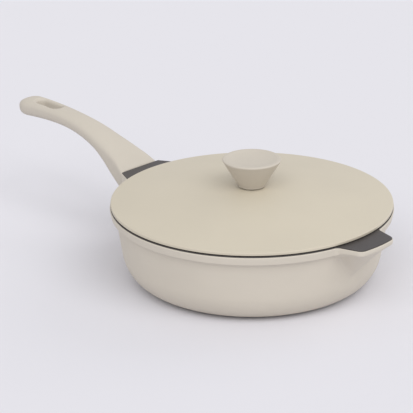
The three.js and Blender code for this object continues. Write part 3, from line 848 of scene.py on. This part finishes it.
def slotReaches():
    # where the skin opens for the slot, as distances along the handle: on top (1) and underneath (-1)
    probe = np.linspace(skinSearch["probeFrom"], handleLength - skinSearch["probeEnd"], skinSearch["probes"])
    reaches = {}
    for side in (1, -1):
        skinX = handleSpots(probe, np.full(probe.shape, side * math.pi / 2))[:, 0]
        ends = (slot["to"] + slot["margin"], slot["from"] - slot["margin"])
        reaches[side] = [float(np.interp(-x, -skinX, probe)) for x in ends]
    return reaches


def ringDistances(reaches):
    # rings stand close over the root's fillet, beside the slot and over the tip
    fillet, tipLength = handle["rootFillet"], handle["tipLength"]
    start = min(reach[0] for reach in reaches.values())
    end = min(max(reach[1] for reach in reaches.values()), gripLength + slot["denseTip"] * tipLength)
    tipStart = math.asin(min(slot["steepest"], max(0.0, (end - gripLength) / tipLength)))
    return np.concatenate([
        fillet * (1.0 - np.cos(quarterTurn(handle["rootRings"]))),
        np.linspace(fillet, start, int((start - fillet) / handle["spacing"]))[1:-1],
        np.linspace(start, end, int((end - start) / slot["spacing"])),
        gripLength + tipLength * np.sin(np.linspace(tipStart, math.pi / 2, handle["tipRings"] + 1)[1:-1]),
    ])


def slotHoles(distances, reaches):
    # for each side: the rings and the columns between which the skin is left open
    rings = {side: [int(np.argmin(np.abs(distances - at))) for at in ends] for side, ends in reaches.items()}
    rows = max(end - start for start, end in rings.values())
    holes = {}
    for side, (start, _) in rings.items():
        column = (2 - side) * handle["sides"] // 4  # a quarter round on top, three quarters underneath
        holes[side] = (start, start + rows, column - slot["columns"], column + slot["columns"])
    return holes


def skinFaces(rings, holes):
    # the skin without the holes; the two points after the rings close the root and the tip
    sides = handle["sides"]
    last = (rings - 1) * sides
    rootMiddle = rings * sides
    faces = []
    for column in range(sides):
        beside = (column + 1) % sides
        for ring in range(rings - 1):
            if any(a <= ring < b and c <= column < d for a, b, c, d in holes.values()):
                continue
            near, far = ring * sides, (ring + 1) * sides
            faces.append((near + column, near + beside, far + beside, far + column))
        faces.append((rootMiddle, beside, column))
        faces.append((last + column, last + beside, rootMiddle + 1))
    return faces


def slotLadder(side, hole, vertices):
    # loops of points from the edge of a hole in the skin, over the slot's rounded edge; new points are added
    sides = handle["sides"]
    startRing, endRing, *columns = hole
    first, last = columns[::side]
    loop = [startRing * sides + column for column in range(first, last, side)]
    loop += [ring * sides + last for ring in range(startRing, endRing)]
    loop += [endRing * sides + column for column in range(last, first, -side)]
    loop += [ring * sides + first for ring in range(endRing, startRing, -1)]
    edge = np.array([vertices[i] for i in loop])
    slotX, slotY, aimX, aimY, away = nearestOnSlot(edge[:, 0], edge[:, 1])
    wide = slot["fillet"]
    steps = [(wide + (away - wide) * part, 0.0) for part in slot["landParts"]]
    for bend in quarterTurn(slot["filletSteps"]):
        steps.append((wide * (1.0 - math.sin(bend)), wide * (1.0 - math.cos(bend))))
    ladder = [loop]
    for out, sunk in steps:
        x, y = slotX + aimX * out, slotY + aimY * out
        z = handleSkin(x, y, side) - side * sunk
        ladder.append(range(len(vertices), len(vertices) + len(loop)))
        vertices.extend(np.column_stack([x, y, z]))
    return ladder


def handleMoulding():
    sides = handle["sides"]
    columns = np.arange(sides) * math.tau / sides
    reaches = slotReaches()
    distances = ringDistances(reaches)
    holes = slotHoles(distances, reaches)
    vertices = [spot for at in distances for spot in handleSpots(np.full(sides, at), columns)]
    vertices += [np.array((x, 0.0, z)) for x, z in (handle["root"], handle["tip"])]
    faces = skinFaces(len(distances), holes)
    top, under = (slotLadder(side, holes[side], vertices) for side in (1, -1))
    ladder = top + under[::-1]
    for upper, lower in zip(ladder, ladder[1:]):
        for i in range(len(upper)):
            j = (i + 1) % len(upper)
            faces.append((upper[i], upper[j], lower[j], lower[i]))
    return addSolid("handleMoulding", vertices, faces, creamMoulding)


grip = handleMoulding()
screwSeat = -tenon["seat"]
for tool in (
    barTool("tenonSocket", fitGap, creamMoulding),
    rodTool("screwHole", tenon["screwHole"], (screwSeat - fitGap, 0.0), creamMoulding),
    rodTool("screwBore", tenon["bore"], (-tenon["boreDepth"], screwSeat), creamMoulding),
):
    joinOrCut(grip, tool, "DIFFERENCE")
settle(grip, "pan", "cream_moulding", "handle_grip")


# Lid

lid = {
    "radius": 141.2, "edge": 3.8, "undercut": (4.0, 1.2), "undercutSteps": 12, "over": 1.1, "overFlat": 0.1,
    "thickness": 2.4, "crownRise": 18.0, "crownRadius": 17.0, "edgeRun": 39.0, "edgeClimb": 6.4,
    "crownRun": 46.0, "crownDrop": 0.8, "domeSteps": 60, "hole": 2.7, "holeEdge": 0.3, "sides": 240,
    "ringClearance": 1.6, "ringThickness": 2.4, "ringDepth": 5.5, "ringRoot": 2.4, "ringRootGap": 4.0,
    "ringEdge": 0.9, "seatFillet": 0.6,
}
lidSeat = pan["height"] + fitGap
lidCrown = pan["height"] + lid["crownRise"]
lidUnder = lidCrown - lid["thickness"]


def lidLine():
    edgeTop = (lid["radius"] - lid["over"], lidSeat + lid["edge"])
    dome = pulledLine(
        edgeTop, (edgeTop[0] - lid["edgeRun"], edgeTop[1] + lid["edgeClimb"]),
        (lid["crownRadius"] + lid["crownRun"], lidCrown - lid["crownDrop"]), (lid["crownRadius"], lidCrown),
        lid["domeSteps"],
    )
    ringBottom = lidSeat - lid["ringDepth"]
    ringOuter = wallRadius(ringBottom) - lining["face"] - lid["ringClearance"]
    ringInner = ringOuter - lid["ringThickness"]
    innerTop = float(np.interp(-ringInner, -dome[:, 0], dome[:, 1])) - lid["thickness"]
    under = [(radius, height - lid["thickness"]) for radius, height in dome[::-1]]
    under = [spot for spot in under if spot[0] < ringInner - lid["ringRootGap"]]
    wide, tall = lid["undercut"]
    bend = quarterTurn(lid["undercutSteps"])[::-1]
    undercut = zip(lid["radius"] - wide * (1.0 - np.cos(bend)), lidSeat + tall * (1.0 - np.sin(bend)))
    middle = (lid["hole"], lidCrown - lid["thickness"] / 2)
    return filletLine([
        middle, (lid["hole"], lidUnder, lid["holeEdge"]), *under, (ringInner, innerTop, lid["ringRoot"]),
        (ringInner, ringBottom, lid["ringEdge"]), (ringOuter, ringBottom, lid["ringEdge"]),
        (ringOuter, lidSeat, lid["seatFillet"]), *undercut,
        (lid["radius"], edgeTop[1] - lid["overFlat"], lid["over"]), *map(tuple, dome[1:]),
        (lid["hole"], lidCrown, lid["holeEdge"]), middle,
    ])


lidDome = growForm("lidDome", turnedForm, lidLine(), sides=lid["sides"], finish=lidCoat)
settle(lidDome, "lid", "lid_coat", "lid_shell")


# Knob and what holds it

knob = {
    "lift": 1.4, "seatRadius": 13.8, "seatEdge": 0.3, "footRadius": 14.2, "footHeight": 1.4, "footEdge": 0.12,
    "coneEdge": 0.15, "grooveDepth": 0.3, "grooveWidth": 0.3, "grooveRoot": 0.1,
    "topRadius": 29.1, "height": 28.1, "edge": 1.4, "dishRadius": 25.6, "dishDepth": 2.6, "dishEdge": 0.9,
    "dishEdgePull": (0.8, 0.667), "dishMiddlePull": 0.467, "dishSteps": 24,  # shares of its radius and depth
    "bore": 4.9, "boreHeight": 13.3, "boreFillet": 0.2, "flange": 6.8, "flangeHeight": 1.5, "sides": 160,
}
knobSeat = lidCrown + knob["lift"]  # room for the gasket


def knobLine():
    top = knobSeat + knob["height"]
    coneBottom = knobSeat + knob["footHeight"]
    grooveBottom, grooveRadius = coneBottom - knob["grooveWidth"], knob["footRadius"] - knob["grooveDepth"]
    edgeMiddle = np.array((knob["topRadius"] - knob["edge"], top - knob["edge"]))
    span = edgeMiddle - (knob["footRadius"], coneBottom)
    lean = math.atan2(span[1], span[0]) - math.asin(knob["edge"] / np.linalg.norm(span))
    corner = knob["footRadius"] + (top - coneBottom) / math.tan(lean)  # where the cone would meet the top
    wide, deep = knob["dishRadius"], knob["dishDepth"]
    pullOut, pullDown = knob["dishEdgePull"]
    dish = pulledLine(
        (wide, top), (wide * pullOut, top - deep * pullDown),
        (wide * knob["dishMiddlePull"], top - deep), (0.0, top - deep), knob["dishSteps"],
    )
    boreTop, flangeTop = knobSeat + knob["boreHeight"], knobSeat + knob["flangeHeight"]
    foot, fillet = knob["footRadius"], knob["boreFillet"]
    seatEdge, root = knob["seatEdge"], knob["grooveRoot"]
    return filletLine([
        (0.0, boreTop), (knob["bore"], boreTop, fillet), (knob["bore"], flangeTop, fillet),
        (knob["flange"], flangeTop, fillet), (knob["flange"], knobSeat, seatEdge),
        (knob["seatRadius"], knobSeat, seatEdge), (foot, grooveBottom, knob["footEdge"]),
        (grooveRadius, grooveBottom, root), (grooveRadius, coneBottom, root),
        (foot, coneBottom, knob["coneEdge"]), (corner, top, knob["edge"]),
        (*dish[0], knob["dishEdge"]), *map(tuple, dish[2:]),
    ])


knobCone = growForm("knobCone", turnedForm, knobLine(), sides=knob["sides"], finish=creamMoulding)
settle(knobCone, "lid", "cream_moulding", "knob")

fastenerHole = 2.7
washerThickness = 1.0
washers = {
    "knobGasket": {
        "outer": 12.0, "bottom": lidCrown + fitGap, "thickness": 0.8, "edge": 0.25, "sides": 96,
        "finish": softSilicone, "home": ("lid", "silicone", "knob_gasket"),  # body, slot and CAD node
    },
    "knobWasher": {
        "outer": 8.5, "bottom": lidUnder - fitGap - washerThickness, "thickness": washerThickness,
        "edge": 0.2, "sides": 64, "finish": screwSteel, "home": ("lid", "steel", "knob_washer"),
    },
    "handleWasher": {
        "outer": 5.4, "bottom": screwSeat - fitGap - washerThickness, "thickness": washerThickness,
        "edge": 0.2, "sides": 64, "finish": screwSteel, "home": ("pan", "steel", "handle_washer"),
    },
}
washerTurn = 18.0  # degrees of each step round an edge


def ringLine(size):
    inner, outer, edge = fastenerHole, size["outer"], size["edge"]
    bottom, top = size["bottom"], size["bottom"] + size["thickness"]
    middle = (inner, (bottom + top) / 2)
    corners = [(inner, bottom, edge), (outer, bottom, edge), (outer, top, edge), (inner, top, edge)]
    return filletLine([middle, *corners, middle], washerTurn)


def ontoTenon(piece):
    # a fastener drawn about its own axis goes to the handle screw's place
    places = np.array([tuple(vert.co) for vert in piece.data.vertices]) / mm
    places[:, 0] += tenon["screwAt"]
    piece.data.vertices.foreach_set("co", (atTenon(places) * mm).ravel())
    piece.data.update()


for name, size in washers.items():
    ring = growForm(name, turnedForm, ringLine(size), sides=size["sides"], finish=size["finish"])
    if name == "handleWasher":
        ontoTenon(ring)
    settle(ring, *size["home"])

insert = {
    "flange": 6.5, "flangeHeight": 1.2, "flangeEdge": 0.2, "flangeRoot": 0.15, "radius": 4.6, "height": 13.0,
    "boreEdge": 0.3, "topEdge": 0.3, "topBoreEdge": 0.2, "seamHeight": 4.0, "edgeTurn": 20.0, "crease": 24.0,
    "knurls": 28.0, "knurlDepth": 0.35, "knurlGap": 1.2, "knurlSkin": 0.1, "sideGap": 1.0, "sideRows": 16,
    "sides": 168,
}
insertFlangeTop = knobSeat + insert["flangeHeight"]
insertTop = knobSeat + insert["height"]


def insertLine():
    bore, radius, flange = fastenerHole, insert["radius"], insert["flange"]
    middle = (bore, knobSeat + insert["seamHeight"])
    sideEnds = (insertFlangeTop + insert["sideGap"], insertTop - insert["sideGap"])
    side = evenLine([(radius, height) for height in sideEnds], insert["sideRows"])
    start = filletLine([
        middle, (bore, knobSeat, insert["boreEdge"]), (flange, knobSeat, insert["flangeEdge"]),
        (flange, insertFlangeTop, insert["flangeEdge"]), (radius, insertFlangeTop, insert["flangeRoot"]),
        tuple(side[0]),
    ], insert["edgeTurn"])
    end = filletLine([
        tuple(side[-1]), (radius, insertTop, insert["topEdge"]), (bore, insertTop, insert["topBoreEdge"]),
        middle,
    ], insert["edgeTurn"])
    return np.vstack([start, side[1:], end[1:]])


brassInsert = growForm(
    "knobInsert", turnedForm, insertLine(), sides=insert["sides"], finish=insertBrass,
    ridgeCount=insert["knurls"], ridgeDepth=insert["knurlDepth"] * mm,
    ridgeFrom=(insertFlangeTop + insert["knurlGap"]) * mm, ridgeTo=(insertTop - insert["knurlGap"]) * mm,
    ridgeRadius=(insert["radius"] - insert["knurlSkin"]) * mm,
)
settle(brassInsert, "lid", "brass", "knob_insert", insert["crease"])

screw = {
    "radius": 2.4, "headRadius": 4.4, "headHeight": 2.6, "headPull": 0.667, "headRim": 0.35, "headEdge": 0.15,
    "neckFillet": 0.2, "headSteps": 14, "crossWidth": 1.1, "crossSpan": 5.0, "crossDepth": 1.4,
    "pitch": 0.8, "threadDepth": 0.3, "threadStart": 0.2, "threadEnd": 0.05, "threadRows": 8,
    "tip": 1.2, "tipInset": 0.15, "tipFlat": 0.1, "edgeTurn": 20.0, "crease": 30.0, "sides": 48,
}
screwPlaces = {
    "handleScrew": {
        "length": 9.8, "threadFrom": 3.0, "headSeat": washers["handleWasher"]["bottom"] - fitGap, "turn": 0.4,
        "home": ("pan", "steel", "handle_screw"),
    },
    "knobScrew": {
        "length": 15.4, "threadFrom": 5.0, "headSeat": washers["knobWasher"]["bottom"] - fitGap, "turn": 1.1,
        "home": ("lid", "steel", "knob_screw"),
    },
}


def screwLine(place):
    tall, wide, radius, pull = screw["headHeight"], screw["headRadius"], screw["radius"], screw["headPull"]
    rim = (wide, -screw["headRim"])
    domed = pulledLine((0.0, -tall), (wide * pull, -tall), (wide, -tall * pull), rim, screw["headSteps"])
    end, start = place["length"], place["threadFrom"]
    threadTo = end - screw["tip"]
    rows = int((threadTo - start) / screw["pitch"] * screw["threadRows"])
    thread = evenLine([(radius, start), (radius, threadTo)], rows)
    corners = [(wide, 0.0, screw["headEdge"]), (radius, 0.0, screw["neckFillet"])]
    neck = filletLine([rim, *corners, (radius, start)], screw["edgeTurn"])
    tip = [(radius - screw["tipInset"], threadTo + screw["tipFlat"]), (radius / 2, end), (0.0, end)]
    return np.vstack([domed, neck[1:], thread[1:], tip])


sharedSizes = ("threadDepth", "crossWidth", "crossSpan", "crossDepth", "headHeight")
shared = {key: screw[key] * mm for key in sharedSizes}
for name, place in screwPlaces.items():
    fastener = growForm(
        name, crossScrew, screwLine(place), sides=screw["sides"], finish=screwSteel, crossTurn=place["turn"],
        threadPitch=screw["pitch"] * mm, threadFrom=(place["threadFrom"] + screw["threadStart"]) * mm,
        threadTo=(place["length"] - screw["tip"] - screw["threadEnd"]) * mm, **shared,
    )
    fastener.data.transform(Matrix.Translation((0.0, 0.0, place["headSeat"] * mm)))
    if name == "handleScrew":
        ontoTenon(fastener)
    settle(fastener, *place["home"], screw["crease"])
print("pieces in place")


# Floor, light and camera, in metres and degrees

stage = {
    "floor": (0.758, 0.750, 0.797), "floorHalf": 40.0, "floorLevel": -0.0002, "floorRoughness": 0.9,
    "cloudScale": 3.0, "cloudDepth": 0.995, "fill": 0.585,
}
softLights = {
    "rightKey": {"level": 0.222, "height": 45.0, "round": 50.0, "softness": 45.0},
    "frontKey": {"level": 0.184, "height": 45.0, "round": 110.0, "softness": 45.0},
    "sideKey": {"level": 0.055, "height": 25.0, "round": -40.0, "softness": 45.0},
}
view = {
    "azimuth": 42.6, "elevation": 21.0, "distance": 1.965, "focal": 1963.0, "frame": 413.0, "sensor": 36.0,
    "target": (0.0, 0.0, 0.077), "targetPixel": (251.7, 203.0), "farthest": 200.0,
}


def floorFinish():
    material, wiring, shader, place = startFinish("paleFloor")
    cloud = wiring.noise(place, stage["cloudScale"], noiseDetail["medium"])
    toned = [channel * stage["cloudDepth"] for channel in stage["floor"]]
    wiring.feed(shader["Base Color"], wiring.tint(cloud, stage["floor"], toned))
    shader["Roughness"].default_value = stage["floorRoughness"]
    shader["Specular IOR Level"].default_value = 0.0
    return material


half, floorLevel = stage["floorHalf"] / mm, stage["floorLevel"] / mm
floorCorners = [(x, y, floorLevel) for x, y in ((-half, -half), (half, -half), (half, half), (-half, half))]
studioFloor = addPiece("studioFloor", floorCorners, [(0, 1, 2, 3)], floorFinish())

world = bpy.data.worlds.new("studioFill")
world.use_nodes = True
scene.world = world
sky = Wiring(world.node_tree)
rays = sky.add("ShaderNodeLightPath").outputs
seen = sky.work("MAXIMUM", rays["Is Camera Ray"], rays["Is Glossy Ray"])
seen = sky.work("MAXIMUM", seen, rays["Is Transmission Ray"])
fillLight = sky.add("ShaderNodeBackground", {"Color": (1.0, 1.0, 1.0), "Strength": stage["fill"]}).outputs[0]
backdrop = sky.add("ShaderNodeBackground", {"Color": stage["floor"], "Strength": 1.0}).outputs[0]
mixed = sky.add("ShaderNodeMixShader", {0: seen, 1: fillLight, 2: backdrop}).outputs[0]
sky.add("ShaderNodeOutputWorld", {"Surface": mixed})

turn, tip = math.radians(view["azimuth"]), math.radians(view["elevation"])
right = Vector((math.cos(turn), math.sin(turn), 0.0))
forward = Vector((-math.sin(turn) * math.cos(tip), math.cos(turn) * math.cos(tip), -math.sin(tip)))
upward = right.cross(forward)
toViewer = Vector((math.sin(turn), -math.cos(turn), 0.0))

for name, light in softLights.items():
    height, around = math.radians(light["height"]), math.radians(light["round"])
    level = right * math.cos(around) + toViewer * math.sin(around)
    aim = level * math.cos(height) + Vector((0.0, 0.0, math.sin(height)))
    lamp = bpy.data.lights.new(name, "SUN")
    lamp.energy = light["level"] * math.pi / math.sin(height)
    lamp.angle = math.radians(light["softness"])
    softLight = bpy.data.objects.new(name, lamp)
    softLight.rotation_mode = "QUATERNION"
    softLight.rotation_quaternion = aim.to_track_quat("Z", "Y")
    scene.collection.objects.link(softLight)

lens = bpy.data.cameras.new("studioCamera")
lens.sensor_width = view["sensor"]
lens.sensor_fit = "HORIZONTAL"
lens.lens = view["sensor"] * view["focal"] / view["frame"]
lens.clip_end = view["farthest"]
cameraPlace = Vector(view["target"]) - forward * view["distance"]
straight = Matrix((right, upward, -forward)).transposed()
swing, dip = (math.atan((pixel - view["frame"] / 2) / view["focal"]) for pixel in view["targetPixel"])
aside = Matrix.Rotation(swing, 3, "Y") @ Matrix.Rotation(dip, 3, "X")  # the pan stands right of the middle
camera = bpy.data.objects.new("studioCamera", lens)
camera.matrix_world = Matrix.Translation(cameraPlace) @ (straight @ aside).to_4x4()
scene.collection.objects.link(camera)
scene.camera = camera
print("stage ready")
